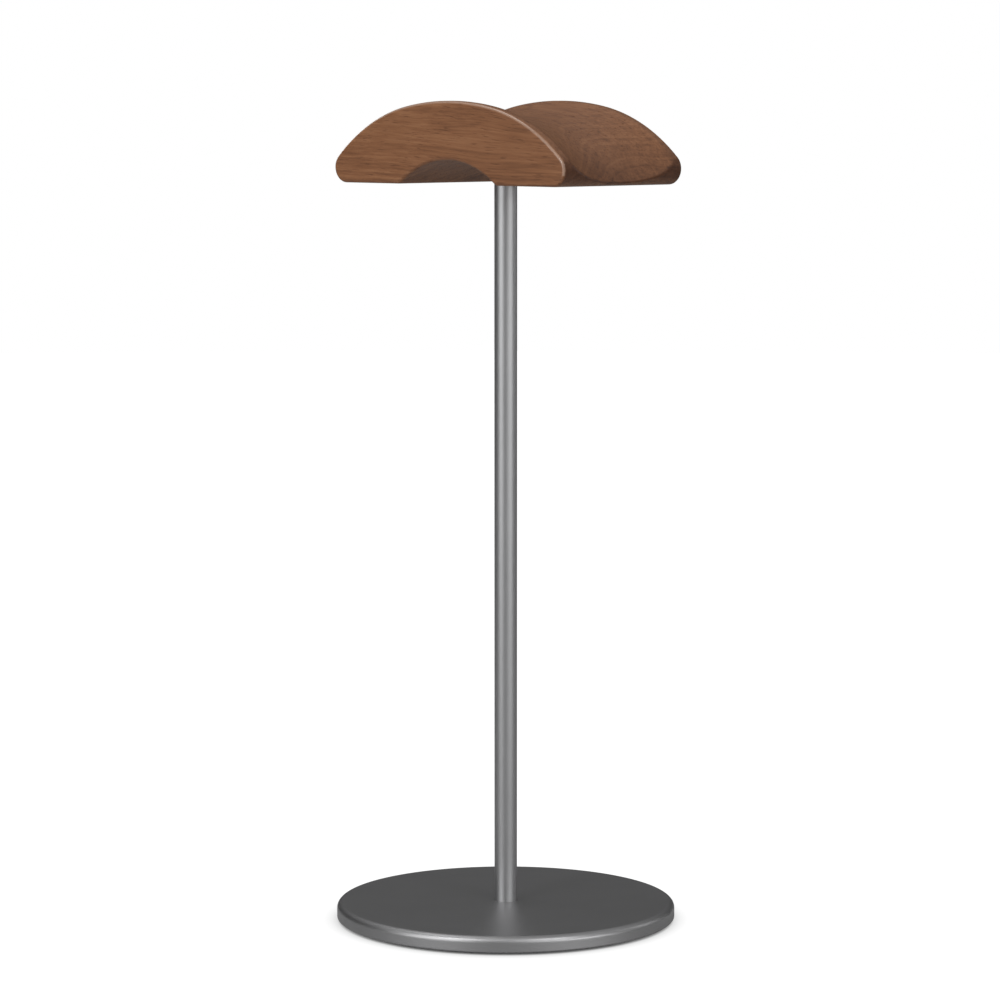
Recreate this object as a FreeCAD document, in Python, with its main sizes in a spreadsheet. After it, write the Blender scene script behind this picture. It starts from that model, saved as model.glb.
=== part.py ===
import FreeCAD, Part
import math
import os
import Sketcher

# Headphone stand: a walnut saddle on a slim rod that rises from a weighted round foot.
# Millimetres, +Z up. The origin is the centre of the footprint, on the surface the stand rests on.
# +Y points to the back: the headband crosses the saddle from left (-X) to right (+X).

Vector = FreeCAD.Vector

doc = FreeCAD.newDocument("HeadphoneStand")
sheet = doc.addObject("Spreadsheet::Sheet", "Sizes")

DRIVING = [
    ("base_diameter", 120.0, "foot, outside"),
    ("base_thickness", 5.5, "foot, without its pad"),
    ("base_edge_round", 2.2, "rounding of the foot's top edge"),
    ("base_lower_break", 0.4, "rounding of the foot's lower edge"),
    ("boss_diameter", 22.0, "solid centre of the foot around its screw"),
    ("recess_diameter", 108.0, "hollow for the ballast, outside"),
    ("recess_depth", 3.0, "hollow for the ballast"),
    ("ballast_gap", 0.5, "air between the ballast and the walls of its hollow"),
    ("tape_thickness", 0.3, "bonding tape above the ballast"),
    ("pad_diameter", 113.6, "soft pad under the foot"),
    ("pad_thickness", 1.2, "soft pad"),
    ("pad_recess_diameter", 114.0, "shallow recess that locates the pad"),
    ("pad_recess_depth", 0.5, "the rest of the pad stands below the foot"),
    ("pole_diameter", 8.0, "rod"),
    ("pole_seat_depth", 1.0, "the rod sinks this far into the foot and into the wood"),
    ("pole_seat_gap", 0.05, "radial clearance of the rod in its seats"),
    ("pole_end_chamfer", 0.3, "both ends of the rod"),
    ("tapped_depth", 14.0, "tapped hole in each end of the rod"),
    ("thread_diameter", 5.0, "M5 at both ends"),
    ("thread_gap", 0.05, "radial clearance that stands for the M5 thread's flanks"),
    ("screw_length", 16.0, "countersunk screw, over all"),
    ("screw_head_diameter", 10.0, "countersunk head"),
    ("screw_head_height", 2.8, "countersunk head, rim included"),
    ("screw_head_rim", 0.3, "straight rim of the countersunk head"),
    ("socket_across_flats", 3.0, "hexagon socket in the screw"),
    ("socket_depth", 1.9, "hexagon socket in the screw"),
    ("stud_length", 20.0, "headless stud between the rod and the insert"),
    ("stud_engagement", 7.5, "length of stud inside the insert"),
    ("stud_socket_across_flats", 2.5, "hexagon socket in the stud"),
    ("stud_socket_depth", 2.5, "hexagon socket in the stud"),
    ("insert_diameter", 7.0, "knurled brass insert, outside"),
    ("insert_length", 8.0, "knurled brass insert"),
    ("insert_hole_depth", 9.0, "blind hole that takes the insert"),
    ("knurl_depth", 0.25, "grooves of the insert's knurling"),
    ("cradle_bottom", 260.5, "height of the saddle's underside"),
    ("cradle_width", 113.5, "saddle, left to right"),
    ("cradle_depth", 58.4, "saddle, front to back"),
    ("cradle_height", 28.7, "saddle, underside to crown"),
    ("cradle_corner", 5.5, "rounding of the outline's two lower corners"),
    ("crown_radius", 112.0, "the outline's flatter middle arc"),
    ("crown_half_angle", 10.8, "degrees from the middle of that arc to its ends"),
    ("cradle_edge_round", 1.2, "rounding around the front and back faces"),
    ("rim_width", 3.6, "flange in front of and behind the valley"),
    ("valley_depth", 6.4, "dip between the flanges"),
    ("valley_edge_round", 1.2, "rounding where the flanges meet the valley"),
    ("tunnel_radius", 37.5, "arched tunnel under the saddle"),
    ("tunnel_height", 8.4, "arched tunnel, underside to ceiling"),
    ("tunnel_lip_round", 2.2, "rounding of the tunnel's long lower edges"),
]
KNURL_COUNT = 16
CUT_MARGIN = 5.0  # how far cutting profiles reach past the solid
VALLEY_SWEEP = 100.0  # degrees that the valley turns past each end of the crown, out of the wood
EDGE_SAMPLES = 7  # points looked at on an edge to tell which edge it is
NEAR = 0.01
LEAST_CUT = 0.01  # cubic millimetres that every cut has to remove

size = {}
for row, (alias, value, meaning) in enumerate(DRIVING, start=1):
    sheet.set("A%d" % row, alias)
    sheet.set("B%d" % row, str(value))
    sheet.set("C%d" % row, meaning)
    sheet.setAlias("B%d" % row, alias)
    size[alias] = value
doc.recompute()


def cell(expression):
    """Put the sheet's name in front of every alias in an expression."""
    words = expression.split(" ")
    return " ".join("Sizes." + word if word in size else word for word in words)


def bind(thing, property_name, expression):
    thing.setExpression(property_name, cell(expression))


def number(expression):
    """The present value of an expression in the sheet's aliases."""
    return float(sheet.evalExpression(cell(expression)))


# Heights of the stack, worked out from the driving sizes.
PAD_FACE = "pad_thickness"
FOOT_UNDERSIDE = "pad_thickness - pad_recess_depth"
FOOT_TOP = "pad_thickness - pad_recess_depth + base_thickness"
POLE_FOOT = FOOT_TOP + " - pole_seat_depth"
CEILING = "cradle_bottom + tunnel_height"
POLE_TOP = CEILING + " + pole_seat_depth"
BALLAST_HEIGHT = "recess_depth - tape_thickness"

# The outline of the saddle is five tangent arcs over a flat underside: crown, two shoulders and two
# small lower corners. The shoulders follow from the others, because they have to meet the crown
# and the corners without a kink.
SINE = "sin( crown_half_angle * 1 deg )"
COSINE = "cos( crown_half_angle * 1 deg )"
HALF_FLAT = "( cradle_width / 2 - cradle_corner )"
CROWN_DROP = "( crown_radius - cradle_height )"
ACROSS = "( crown_radius * %s - %s )" % (SINE, HALF_FLAT)
RISE = "( crown_radius * %s - %s - cradle_corner )" % (COSINE, CROWN_DROP)
SHOULDER_OVER = "( %s ^ 2 + %s ^ 2 - cradle_corner ^ 2 )" % (ACROSS, RISE)
SHOULDER_UNDER = "( 2 * ( %s * %s + %s * %s - cradle_corner ) )" % (ACROSS, SINE, RISE, COSINE)
SHOULDER_RADIUS = "( %s / %s )" % (SHOULDER_OVER, SHOULDER_UNDER)
SHOULDER_X = "( ( crown_radius - %s ) * %s )" % (SHOULDER_RADIUS, SINE)
SHOULDER_DROP = "( %s - ( crown_radius - %s ) * %s )" % (CROWN_DROP, SHOULDER_RADIUS, COSINE)
REACH = "( cradle_depth / 2 - rim_width )"
half_flat = number(HALF_FLAT)
crown_z = -number(CROWN_DROP)
shoulder_radius = number(SHOULDER_RADIUS)
shoulder_x = number(SHOULDER_X)
shoulder_z = -number(SHOULDER_DROP)


def new_body(label, height):
    """A body with its own label, lifted to its height in the stack."""
    body = doc.addObject("PartDesign::Body", label)
    body.Label = label
    bind(body, "Placement.Base.z", height)
    return body


def new_sketch(body, role, name):
    sketch = body.newObject("Sketcher::SketchObject", name)
    plane = [item for item in body.Origin.OriginFeatures if item.Role == role][0]
    sketch.AttachmentSupport = [(plane, "")]
    sketch.MapMode = "FlatFace"
    return sketch


def name_constraint(sketch, constraint, name, expression):
    """Add a dimension to a sketch and tie it to the sheet."""
    index = sketch.addConstraint(constraint)
    sketch.renameConstraint(index, name)
    bind(sketch, "Constraints." + name, expression)


def add_outline(sketch, points, ties):
    """Closed straight-sided profile. Each corner's x and z is tied to an expression."""
    corners = [Vector(x, z, 0) for x, z in points]
    for index, corner in enumerate(corners):
        sketch.addGeometry(Part.LineSegment(corner, corners[(index + 1) % len(corners)]), False)
    for index in range(len(corners)):
        sketch.addConstraint(Sketcher.Constraint("Coincident", index, 2, (index + 1) % len(corners), 1))
    for index, (across, up) in enumerate(ties):
        for kind, letter, expression in (("DistanceX", "x", across), ("DistanceY", "z", up)):
            if expression == "0":
                axis = -2 if kind == "DistanceX" else -1
                sketch.addConstraint(Sketcher.Constraint("PointOnObject", index, 1, axis))
            else:
                value = corners[index].x if kind == "DistanceX" else corners[index].y
                name_constraint(sketch, Sketcher.Constraint(kind, -1, 1, index, 1, value),
                                "%s%d" % (letter, index), expression)


def revolve_profile(label, height, ties):
    """Turn a closed profile, given by its corners' radius and height, about the vertical axis."""
    body = new_body(label, height)
    sketch = new_sketch(body, "XZ_Plane", label + "_profile")
    add_outline(sketch, [(number(across), number(up)) for across, up in ties], ties)
    turned = body.newObject("PartDesign::Revolution", label + "_turned")
    turned.Profile = sketch
    turned.ReferenceAxis = (sketch, ["V_Axis"])
    turned.Angle = 360.0
    doc.recompute()
    return body, turned


def edge_names(feature, wanted):
    """Names of the edges whose points all pass a test."""
    return ["Edge%d" % (index + 1) for index, edge in enumerate(feature.Shape.Edges)
            if all(wanted(point) for point in edge.discretize(EDGE_SAMPLES))]


def round_edges(body, feature, wanted, expression, name):
    rounded = body.newObject("PartDesign::Fillet", name)
    rounded.Base = (feature, edge_names(feature, wanted))
    bind(rounded, "Radius", expression)
    doc.recompute()
    return rounded


def must_remove(before, after, what):
    if not after.Shape.Volume < before.Shape.Volume - LEAST_CUT:
        raise RuntimeError(what + " removed nothing")


def hexagon_pocket(body, feature, mouth_height, across_flats, depth, name, reversed_cut):
    """Hexagon socket sunk into the end of a screw, from the height of its mouth."""
    sketch = new_sketch(body, "XY_Plane", name + "_hexagon")
    bind(sketch, "AttachmentOffset.Base.z", mouth_height)
    corner_radius = size[across_flats] / math.sqrt(3)
    turns = [math.radians(60 * index) for index in range(6)]
    corners = [Vector(corner_radius * math.cos(turn), corner_radius * math.sin(turn), 0) for turn in turns]
    for index in range(6):
        sketch.addGeometry(Part.LineSegment(corners[index], corners[(index + 1) % 6]), False)
    circle = sketch.addGeometry(Part.Circle(Vector(), Vector(0, 0, 1), corner_radius), True)
    sketch.addConstraint(Sketcher.Constraint("Coincident", circle, 3, -1, 1))
    for index in range(6):
        sketch.addConstraint(Sketcher.Constraint("Coincident", index, 2, (index + 1) % 6, 1))
        sketch.addConstraint(Sketcher.Constraint("PointOnObject", index, 1, circle))
        if index:
            sketch.addConstraint(Sketcher.Constraint("Equal", 0, index))
    sketch.addConstraint(Sketcher.Constraint("PointOnObject", 0, 1, -1))
    name_constraint(sketch, Sketcher.Constraint("Radius", circle, corner_radius),
                    "corner_radius", across_flats + " / sqrt(3)")
    doc.recompute()
    pocket = body.newObject("PartDesign::Pocket", name)
    pocket.Profile = sketch
    pocket.Reversed = reversed_cut
    bind(pocket, "Length", depth)
    doc.recompute()
    must_remove(feature, pocket, name)
    return pocket


def build_foot_pad():
    revolve_profile("foot_pad", "0 * pad_thickness", [
        ("0", "0"),
        ("pad_diameter / 2", "0"),
        ("pad_diameter / 2", "pad_thickness"),
        ("0", "pad_thickness")])


def build_base_plate():
    """Turned foot: rounded top edge, seat for the rod, countersink, ballast hollow and pad recess."""
    screw_radius = "thread_diameter / 2 + thread_gap"
    body, turned = revolve_profile("base_plate", FOOT_UNDERSIDE, [
        (screw_radius, "pad_recess_depth + screw_head_height"),
        ("screw_head_diameter / 2", "pad_recess_depth + screw_head_rim"),
        ("screw_head_diameter / 2", "pad_recess_depth"),
        ("boss_diameter / 2", "pad_recess_depth"),
        ("boss_diameter / 2", "pad_recess_depth + recess_depth"),
        ("recess_diameter / 2", "pad_recess_depth + recess_depth"),
        ("recess_diameter / 2", "pad_recess_depth"),
        ("pad_recess_diameter / 2", "pad_recess_depth"),
        ("pad_recess_diameter / 2", "0"),
        ("base_diameter / 2", "0"),
        ("base_diameter / 2", "base_thickness"),
        ("pole_diameter / 2 + pole_seat_gap", "base_thickness"),
        ("pole_diameter / 2 + pole_seat_gap", "base_thickness - pole_seat_depth"),
        (screw_radius, "base_thickness - pole_seat_depth")])
    outside = size["base_diameter"] / 2

    def on_rim(point, height):
        return abs(math.hypot(point.x, point.y) - outside) < NEAR and abs(point.z - height) < NEAR

    topped = round_edges(body, turned, lambda point: on_rim(point, size["base_thickness"]),
                         "base_edge_round", "top_edge")
    round_edges(body, topped, lambda point: on_rim(point, 0.0), "base_lower_break", "lower_edge")


def build_ballast():
    """Steel ring and the tape that bonds it to the ceiling of the foot's hollow."""
    inner = "boss_diameter / 2 + ballast_gap"
    outer = "recess_diameter / 2 - ballast_gap"
    stack = [("ballast_ring", PAD_FACE, BALLAST_HEIGHT),
             ("ballast_tape", PAD_FACE + " + " + BALLAST_HEIGHT, "tape_thickness")]
    for label, height, thickness in stack:
        revolve_profile(label, height, [(inner, "0"), (outer, "0"), (outer, thickness), (inner, thickness)])


def build_base_screw():
    body, turned = revolve_profile("base_screw", PAD_FACE, [
        ("0", "0"),
        ("screw_head_diameter / 2", "0"),
        ("screw_head_diameter / 2", "screw_head_rim"),
        ("thread_diameter / 2", "screw_head_height"),
        ("thread_diameter / 2", "screw_length"),
        ("0", "screw_length")])
    hexagon_pocket(body, turned, "0 * screw_length", "socket_across_flats", "socket_depth", "socket", True)


def build_pole():
    """Round rod with a tapped hole and a small chamfer at each end."""
    length = POLE_TOP + " - ( " + POLE_FOOT + " )"
    bore = "thread_diameter / 2 + thread_gap"
    outside = "pole_diameter / 2"
    rim = "pole_diameter / 2 - pole_end_chamfer"
    upper_floor = length + " - tapped_depth"
    revolve_profile("pole", POLE_FOOT, [
        (bore, "0"),
        (rim, "0"),
        (outside, "pole_end_chamfer"),
        (outside, length + " - pole_end_chamfer"),
        (rim, length),
        (bore, length),
        (bore, upper_floor),
        ("0", upper_floor),
        ("0", "tapped_depth"),
        (bore, "tapped_depth")])


def build_cradle_stud():
    """Headless stud: most of it in the rod, the rest in the brass insert."""
    body, turned = revolve_profile("cradle_stud", POLE_TOP + " + stud_engagement - stud_length", [
        ("0", "0"),
        ("thread_diameter / 2", "0"),
        ("thread_diameter / 2", "stud_length"),
        ("0", "stud_length")])
    hexagon_pocket(body, turned, "stud_length", "stud_socket_across_flats", "stud_socket_depth",
                   "socket", False)


def build_cradle_insert():
    """Brass insert pressed into the wood, knurled so that it can't turn."""
    bore = "thread_diameter / 2 + thread_gap"
    body, turned = revolve_profile("cradle_insert", POLE_TOP, [
        (bore, "0"),
        ("insert_diameter / 2", "0"),
        ("insert_diameter / 2", "insert_length"),
        (bore, "insert_length")])
    sketch = new_sketch(body, "XY_Plane", "knurl_groove")
    root = size["insert_diameter"] / 2 - size["knurl_depth"]
    mouth = size["insert_diameter"] / 2 + size["knurl_depth"]
    corners = [Vector(root, 0, 0), Vector(mouth, mouth - root, 0), Vector(mouth, root - mouth, 0)]
    for index in range(3):
        sketch.addGeometry(Part.LineSegment(corners[index], corners[(index + 1) % 3]), False)
    for index in range(3):
        sketch.addConstraint(Sketcher.Constraint("Coincident", index, 2, (index + 1) % 3, 1))
    sketch.addConstraint(Sketcher.Constraint("PointOnObject", 0, 1, -1))
    sketch.addConstraint(Sketcher.Constraint("Symmetric", 1, 1, 1, 2, -1))
    name_constraint(sketch, Sketcher.Constraint("DistanceX", -1, 1, 0, 1, root),
                    "root", "insert_diameter / 2 - knurl_depth")
    name_constraint(sketch, Sketcher.Constraint("DistanceX", -1, 1, 1, 1, mouth),
                    "mouth", "insert_diameter / 2 + knurl_depth")
    name_constraint(sketch, Sketcher.Constraint("DistanceY", -1, 1, 1, 1, mouth - root),
                    "flare", "2 * knurl_depth")
    doc.recompute()
    groove = body.newObject("PartDesign::Pocket", "knurl")
    groove.Profile = sketch
    groove.Reversed = True
    bind(groove, "Length", "insert_length")
    doc.recompute()
    must_remove(turned, groove, "knurl")
    pattern = body.newObject("PartDesign::PolarPattern", "knurling")
    pattern.Originals = [groove]
    pattern.Axis = ([item for item in body.Origin.OriginFeatures if item.Role == "Z_Axis"][0], [""])
    pattern.Angle = 360.0
    pattern.Occurrences = KNURL_COUNT
    body.Tip = pattern
    doc.recompute()
    must_remove(groove, pattern, "knurling")


def cradle_outline(body):
    """Front view of the saddle: the crown, its shoulders, two small lower corners, and a flat
    underside that an arched tunnel divides. The tunnel's long lower edges are rounded outwards."""
    sketch = new_sketch(body, "XZ_Plane", "outline")
    corner = size["cradle_corner"]
    lip = size["tunnel_lip_round"]
    tunnel = size["tunnel_radius"]
    tunnel_z = size["tunnel_height"] - tunnel
    lip_x = math.sqrt((tunnel + lip) ** 2 - (lip - tunnel_z) ** 2)
    low = math.atan2(corner - shoulder_z, half_flat - shoulder_x)
    high = math.pi / 2 - math.radians(size["crown_half_angle"])
    lean = math.atan2(lip - tunnel_z, lip_x)

    def add_line(x_start, x_end):
        sketch.addGeometry(Part.LineSegment(Vector(x_start, 0, 0), Vector(x_end, 0, 0)), False)

    def add_arc(x, z, radius, start, end):
        circle = Part.Circle(Vector(x, z, 0), Vector(0, 0, 1), radius)
        sketch.addGeometry(Part.ArcOfCircle(circle, start, end), False)

    add_line(lip_x, half_flat)
    add_arc(half_flat, corner, corner, -math.pi / 2, low)
    add_arc(shoulder_x, shoulder_z, shoulder_radius, low, high)
    add_arc(0, crown_z, size["crown_radius"], high, math.pi - high)
    add_arc(-shoulder_x, shoulder_z, shoulder_radius, math.pi - high, math.pi - low)
    add_arc(-half_flat, corner, corner, math.pi - low, 3 * math.pi / 2)
    add_line(-half_flat, -lip_x)
    add_arc(-lip_x, lip, lip, -math.pi / 2, -lean)
    add_arc(0, tunnel_z, tunnel, lean, math.pi - lean)
    add_arc(lip_x, lip, lip, math.pi + lean, 3 * math.pi / 2)
    right_flat, right_corner, right_shoulder, crown, left_shoulder, left_corner = range(6)
    left_flat, left_lip, ceiling, right_lip = range(6, 10)
    for first in range(10):
        # The tunnel's ceiling runs backwards, because a sketch's arcs all turn the same way.
        leave = 1 if first == ceiling else 2
        enter = 2 if first == left_lip else 1
        sketch.addConstraint(Sketcher.Constraint("Tangent", first, leave, (first + 1) % 10, enter))
    for line in (right_flat, left_flat):
        for end in (1, 2):
            sketch.addConstraint(Sketcher.Constraint("PointOnObject", line, end, -1))
    for arc in (crown, ceiling):
        sketch.addConstraint(Sketcher.Constraint("PointOnObject", arc, 3, -2))
    for left, right in ((left_corner, right_corner), (left_shoulder, right_shoulder),
                        (left_lip, right_lip), (left_flat, right_flat)):
        sketch.addConstraint(Sketcher.Constraint("Equal", left, right))
    for arc, name, value, expression in (
            (right_corner, "corner", corner, "cradle_corner"),
            (right_shoulder, "shoulder", shoulder_radius, SHOULDER_RADIUS),
            (crown, "crown", size["crown_radius"], "crown_radius"),
            (left_lip, "lip", lip, "tunnel_lip_round"),
            (ceiling, "tunnel", tunnel, "tunnel_radius")):
        name_constraint(sketch, Sketcher.Constraint("Radius", arc, value), name, expression)
    name_constraint(sketch, Sketcher.Constraint("DistanceX", -1, 1, right_corner, 3, half_flat),
                    "half_flat", HALF_FLAT)
    name_constraint(sketch, Sketcher.Constraint("DistanceY", crown, 3, -1, 1, -crown_z),
                    "crown_drop", CROWN_DROP)
    name_constraint(sketch, Sketcher.Constraint("DistanceY", ceiling, 3, -1, 1, -tunnel_z),
                    "tunnel_drop", "tunnel_radius - tunnel_height")
    doc.recompute()
    return sketch


def cut_valley(body, feature, name, arc_x, arc_drop, arc_radius, tilt, sweep):
    """Turn the valley's section about the centre of one arc of the outline, so that the valley keeps
    its depth under that arc. The section leans by tilt and turns by sweep, in degrees, towards
    the right; a centred cut has no tilt."""
    sketch = new_sketch(body, "YZ_Plane", name + "_section")
    sketch.AttachmentOffset = FreeCAD.Placement(Vector(), FreeCAD.Rotation(Vector(1, 0, 0), tilt))
    bind(sketch, "AttachmentOffset.Base.y", "-1 * " + arc_drop)
    bind(sketch, "AttachmentOffset.Base.z", arc_x)
    rim = number(arc_radius)
    reach = number(REACH)
    depth = size["valley_depth"]
    radius = (reach ** 2 + depth ** 2) / (2 * depth)
    spread = math.asin(reach / radius)
    down = 3 * math.pi / 2
    circle = Part.Circle(Vector(0, rim - depth + radius, 0), Vector(0, 0, 1), radius)
    sketch.addGeometry(Part.ArcOfCircle(circle, down - spread, down + spread), False)
    corners = [Vector(reach, rim, 0), Vector(reach, rim + CUT_MARGIN, 0),
               Vector(-reach, rim + CUT_MARGIN, 0), Vector(-reach, rim, 0)]
    for start, end in zip(corners, corners[1:]):
        sketch.addGeometry(Part.LineSegment(start, end), False)
    for first in range(4):
        sketch.addConstraint(Sketcher.Constraint("Coincident", first, 2, (first + 1) % 4, 1))
    sketch.addConstraint(Sketcher.Constraint("Vertical", 1))
    sketch.addConstraint(Sketcher.Constraint("Horizontal", 2))
    sketch.addConstraint(Sketcher.Constraint("Symmetric", 0, 1, 0, 2, -2))
    sketch.addConstraint(Sketcher.Constraint("DistanceY", 1, 1, 1, 2, CUT_MARGIN))
    name_constraint(sketch, Sketcher.Constraint("DistanceX", -1, 1, 0, 2, reach), "reach", REACH)
    name_constraint(sketch, Sketcher.Constraint("DistanceY", -1, 1, 0, 2, rim), "rim", arc_radius)
    name_constraint(sketch, Sketcher.Constraint("Radius", 0, radius), "radius",
                    "( %s ^ 2 + valley_depth ^ 2 ) / ( 2 * valley_depth )" % REACH)
    doc.recompute()
    groove = body.newObject("PartDesign::Groove", name)
    groove.Profile = sketch
    groove.ReferenceAxis = (sketch, ["H_Axis"])
    groove.Midplane = tilt == 0
    groove.Reversed = sweep < 0
    groove.Angle = abs(sweep)
    doc.recompute()
    must_remove(feature, groove, name)
    return groove


def round_hole(body, feature, start, diameter, depth, name):
    """Blind round hole that goes up from a height inside the saddle."""
    sketch = new_sketch(body, "XY_Plane", name + "_circle")
    bind(sketch, "AttachmentOffset.Base.z", start)
    radius = number(diameter) / 2
    sketch.addGeometry(Part.Circle(Vector(), Vector(0, 0, 1), radius), False)
    sketch.addConstraint(Sketcher.Constraint("Coincident", 0, 3, -1, 1))
    name_constraint(sketch, Sketcher.Constraint("Diameter", 0, 2 * radius), "diameter", diameter)
    doc.recompute()
    pocket = body.newObject("PartDesign::Pocket", name)
    pocket.Profile = sketch
    pocket.Reversed = True
    bind(pocket, "Length", depth)
    doc.recompute()
    must_remove(feature, pocket, name)
    return pocket


def build_cradle():
    body = new_body("cradle", "cradle_bottom")
    half_depth = size["cradle_depth"] / 2
    reach = number(REACH)
    block = body.newObject("PartDesign::Pad", "block")
    block.Profile = cradle_outline(body)
    block.Midplane = True
    bind(block, "Length", "cradle_depth")
    doc.recompute()

    turn = size["crown_half_angle"]
    middle = cut_valley(body, block, "valley_middle", "0 * crown_radius", CROWN_DROP, "crown_radius",
                        0, 2 * turn)
    right = cut_valley(body, middle, "valley_right", SHOULDER_X, SHOULDER_DROP, SHOULDER_RADIUS,
                       turn, VALLEY_SWEEP)
    left = cut_valley(body, right, "valley_left", "-1 * " + SHOULDER_X, SHOULDER_DROP, SHOULDER_RADIUS,
                      -turn, -VALLEY_SWEEP)

    def on_valley_lip(point):
        across = abs(point.x)
        gaps = [math.hypot(across, point.z - crown_z) - size["crown_radius"],
                math.hypot(across - shoulder_x, point.z - shoulder_z) - shoulder_radius,
                math.hypot(across - half_flat, point.z - size["cradle_corner"]) - size["cradle_corner"]]
        return abs(point.y) < reach + NEAR and min(abs(gap) for gap in gaps) < NEAR

    def on_face(point):
        return abs(abs(point.y) - half_depth) < NEAR

    lipped = round_edges(body, left, on_valley_lip, "valley_edge_round", "valley_lips")
    eased = round_edges(body, lipped, on_face, "cradle_edge_round", "face_edges")

    # Both holes start below the tunnel's ceiling, in the open, and go up into the wood.
    seated = round_hole(body, eased, "tunnel_height - %g" % CUT_MARGIN,
                        "pole_diameter + 2 * pole_seat_gap",
                        "pole_seat_depth + %g" % CUT_MARGIN, "rod_seat")
    round_hole(body, seated, "tunnel_height", "insert_diameter",
               "pole_seat_depth + insert_hole_depth", "insert_hole")


def check_document():
    """Stop on any object that failed to build."""
    for item in doc.Objects:
        states = set(item.State)
        if states & {"Invalid", "Error"}:
            raise RuntimeError("%s is %s" % (item.Name, ", ".join(sorted(states))))


def write_steps():
    os.makedirs("parts", exist_ok=True)
    bodies = [item for item in doc.Objects if item.TypeId == "PartDesign::Body"]
    for body in bodies:
        shape = body.Shape
        if shape.isNull() or not shape.isValid():
            raise RuntimeError(body.Label + " has no valid shape")
    for body in bodies:
        box = body.Shape.BoundBox
        body.Shape.exportStep(os.path.join("parts", body.Label + ".step"))
        print("%-14s %8.0f mm3   z %.2f to %.2f" % (body.Label, body.Shape.Volume, box.ZMin, box.ZMax))


build_foot_pad()
build_base_plate()
build_ballast()
build_base_screw()
build_pole()
build_cradle_stud()
build_cradle_insert()
build_cradle()
doc.recompute()
check_document()
write_steps()
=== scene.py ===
import math

import bmesh
import bpy
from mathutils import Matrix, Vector


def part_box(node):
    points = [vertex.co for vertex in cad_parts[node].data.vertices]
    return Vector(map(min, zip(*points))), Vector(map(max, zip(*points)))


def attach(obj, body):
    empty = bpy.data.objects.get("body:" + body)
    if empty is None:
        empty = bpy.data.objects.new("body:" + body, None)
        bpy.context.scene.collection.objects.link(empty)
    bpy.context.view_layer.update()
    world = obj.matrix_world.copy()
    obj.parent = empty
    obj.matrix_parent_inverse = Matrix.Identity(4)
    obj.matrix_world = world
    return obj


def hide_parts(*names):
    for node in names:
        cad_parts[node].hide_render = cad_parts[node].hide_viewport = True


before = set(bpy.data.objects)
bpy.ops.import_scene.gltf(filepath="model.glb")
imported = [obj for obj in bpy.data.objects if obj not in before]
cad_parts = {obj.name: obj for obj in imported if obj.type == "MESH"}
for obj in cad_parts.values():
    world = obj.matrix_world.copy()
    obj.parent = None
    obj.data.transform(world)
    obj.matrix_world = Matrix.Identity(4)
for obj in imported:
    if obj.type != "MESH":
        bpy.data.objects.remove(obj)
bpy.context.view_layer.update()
print("frame loaded:", len(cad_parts), "nodes")

mm = 0.001
roundSteps = 144               # corners of a turned piece seen from above


# small helpers for shapes

def newPiece(name, points, faces, sharpAngle):
    mesh = bpy.data.meshes.new(name)
    mesh.from_pydata(points, [], faces)
    bm = bmesh.new()
    bm.from_mesh(mesh)
    bmesh.ops.recalc_face_normals(bm, faces=bm.faces)
    bm.to_mesh(mesh)
    bm.free()
    mesh.shade_smooth()
    mesh.set_sharp_from_angle(angle=math.radians(sharpAngle))
    piece = bpy.data.objects.new(name, mesh)
    bpy.context.scene.collection.objects.link(piece)
    return piece


def circleRing(radius, z, segments=roundSteps):
    turns = [2 * math.pi * index / segments for index in range(segments)]
    return [(radius * math.cos(turn), radius * math.sin(turn), z) for turn in turns]


def hexRing(acrossFlats, z, segments=roundSteps):
    ring = []
    for index in range(segments):
        turn = 2 * math.pi * index / segments
        fromFlat = (turn + math.pi / 6) % (math.pi / 3) - math.pi / 6
        radius = acrossFlats / 2 / math.cos(fromFlat)
        ring.append((radius * math.cos(turn), radius * math.sin(turn), z))
    return ring


def arcRings(centreRadius, centreZ, radius, start, end, steps):
    # a rounded edge; angles in degrees, 0 outward and 90 up
    rings = []
    for index in range(steps + 1):
        angle = math.radians(start + (end - start) * index / steps)
        rings.append(circleRing(centreRadius + radius * math.cos(angle), centreZ + radius * math.sin(angle)))
    return rings


def threadRings(thread, bottom, top):
    # outside thread between two heights, tapered at both ends
    rows = round((top - bottom) / thread["pitch"] * thread["rowsPerTurn"])
    rings = []
    for row in range(rows + 1):
        z = bottom + (top - bottom) * row / rows
        limit = thread["radius"] - thread["depth"] + min(z - bottom, top - z) * thread["lead"]
        ring = []
        for index in range(roundSteps):
            turn = 2 * math.pi * index / roundSteps
            fromCrest = abs((z / thread["pitch"] - index / roundSteps) % 1 - 0.5) * 2
            dip = min(max((fromCrest - thread["crest"]) / thread["flank"], 0), 1)
            radius = min(thread["radius"] - thread["depth"] * dip, limit)
            ring.append((radius * math.cos(turn), radius * math.sin(turn), z))
        rings.append(ring)
    return rings


def turnedPiece(name, rings, closed=False, sharpAngle=32):
    # joins rings of points with faces; a ring of one point closes an end
    points, faces, numbers = [], [], []
    for ring in rings:
        numbers.append(list(range(len(points), len(points) + len(ring))))
        points += ring
    pairs = list(zip(numbers, numbers[1:]))
    if closed:
        pairs.append((numbers[-1], numbers[0]))
    for below, above in pairs:
        for index in range(roundSteps):
            after = (index + 1) % roundSteps
            if len(below) == 1:
                faces.append((below[0], above[after], above[index]))
            elif len(above) == 1:
                faces.append((below[index], below[after], above[0]))
            else:
                faces.append((below[index], below[after], above[after], above[index]))
    return newPiece(name, points, faces, sharpAngle)


def settle(piece, node):
    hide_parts(node)
    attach(piece, "root")
    return piece


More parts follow.
